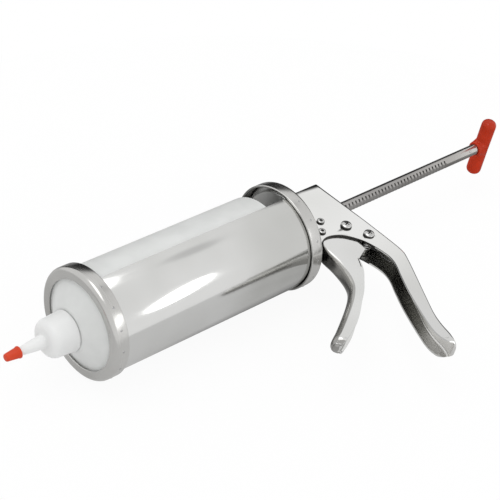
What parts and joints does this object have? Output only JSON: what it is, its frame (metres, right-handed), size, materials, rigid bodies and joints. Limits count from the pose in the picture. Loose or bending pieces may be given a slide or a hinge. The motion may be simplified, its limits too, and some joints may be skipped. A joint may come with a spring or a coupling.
{
  "type": "sauce dispensing gun",
  "caption": "Pistol-grip sauce gun: a half-round steel cradle holds a capped tube, and a trigger ratchets a rod with a T-handle to push it out.",
  "frame": {"origin": "on the barrel axis, inside the front ring, 2 mm behind its front face", "axes": "+X back along the barrel to the T-handle, +Y the cradle's open side, +Z the gun's left side, up as it lies on its side"},
  "size_m": [0.4853, 0.1987, 0.083],
  "materials": {
    "polished_steel": "mirror-polished stainless steel",
    "zinc_steel": "bright plated steel",
    "spring_steel": "drawn spring wire",
    "white_plastic": "satin white plastic",
    "red_plastic": "soft gloss red plastic"
  },
  "bodies": {
    "gun_body": {"front_ring": "polished_steel", "rear_cap": "polished_steel", "cradle_trough": "polished_steel", "guide_bush": "zinc_steel", "frame_shell": "polished_steel", "foot_rivet_1": "zinc_steel", "foot_rivet_2": "zinc_steel", "foot_rivet_3": "zinc_steel", "foot_rivet_4": "zinc_steel", "pivot_screw": "zinc_steel", "pivot_nut": "zinc_steel", "pivot_sleeve": "zinc_steel", "post_screw": "zinc_steel", "post_nut": "zinc_steel", "post_sleeve": "zinc_steel", "hold_pawl_rivet": "zinc_steel", "stop_rivet": "zinc_steel", "trigger_spring": "spring_steel", "hold_pawl_spring": "spring_steel"},
    "trigger_lever": {"trigger": "polished_steel", "drive_pawl_pin": "zinc_steel", "drive_pawl_spring": "spring_steel"},
    "drive_pawl_body": {"drive_pawl": "zinc_steel"},
    "hold_pawl_body": {"hold_pawl": "zinc_steel"},
    "pusher": {"pusher_disc": "polished_steel"},
    "rod": {"ratchet_rod": "polished_steel", "rod_pin": "zinc_steel", "t_handle": "red_plastic", "pusher_washer": "zinc_steel", "pusher_screw": "zinc_steel"},
    "tube": {"sauce_tube": "white_plastic"},
    "cap": {"spout_cap": "white_plastic"},
    "tip": {"tip_cap": "red_plastic"}
  },
  "joints": [
    {"name": "trigger_squeeze", "type": "hinge", "parent": "gun_body", "child": "trigger_lever", "pos_m": [0.231, -0.023, 0], "axis": [0, 0, 1], "range_deg": [0, 24], "stiffness_Nm_per_rad": 0.3, "springref_deg": -34.38},
    {"name": "drive_pawl_pivot", "type": "hinge", "parent": "trigger_lever", "child": "drive_pawl_body", "pos_m": [0.23325, -0.01244, 0], "axis": [0, 0, 1], "range_deg": [-24, 0]},
    {"name": "hold_pawl_pivot", "type": "hinge", "parent": "gun_body", "child": "hold_pawl_body", "pos_m": [0.209, -0.019, 0], "axis": [0, 0, 1], "range_deg": [0, 12], "stiffness_Nm_per_rad": 0.02, "springref_deg": -17.19},
    {"name": "rod_slide", "type": "slide", "parent": "gun_body", "child": "pusher", "axis": [-1, 0, 0], "range_m": [0, 0.1554]},
    {"name": "rod_turn", "type": "hinge", "parent": "pusher", "child": "rod", "pos_m": [0.3, 0, 0], "axis": [1, 0, 0], "range_deg": [0, 90]},
    {"name": "tube_release", "type": "slide", "parent": "gun_body", "child": "tube", "axis": [1, 0, 0], "range_m": [0, 0.01]},
    {"name": "spout_cap_turn", "type": "hinge", "parent": "tube", "child": "cap", "pos_m": [-0.02, 0, 0], "axis": [-1, 0, 0], "range_deg": [0, 90]},
    {"name": "tip_cap_pull", "type": "slide", "parent": "cap", "child": "tip", "axis": [-1, 0, 0], "range_m": [0, 0.02]}
  ],
  "couplings": [
    {"joint": "drive_pawl_pivot", "follows": "trigger_squeeze", "ratio": -1}
  ]
}
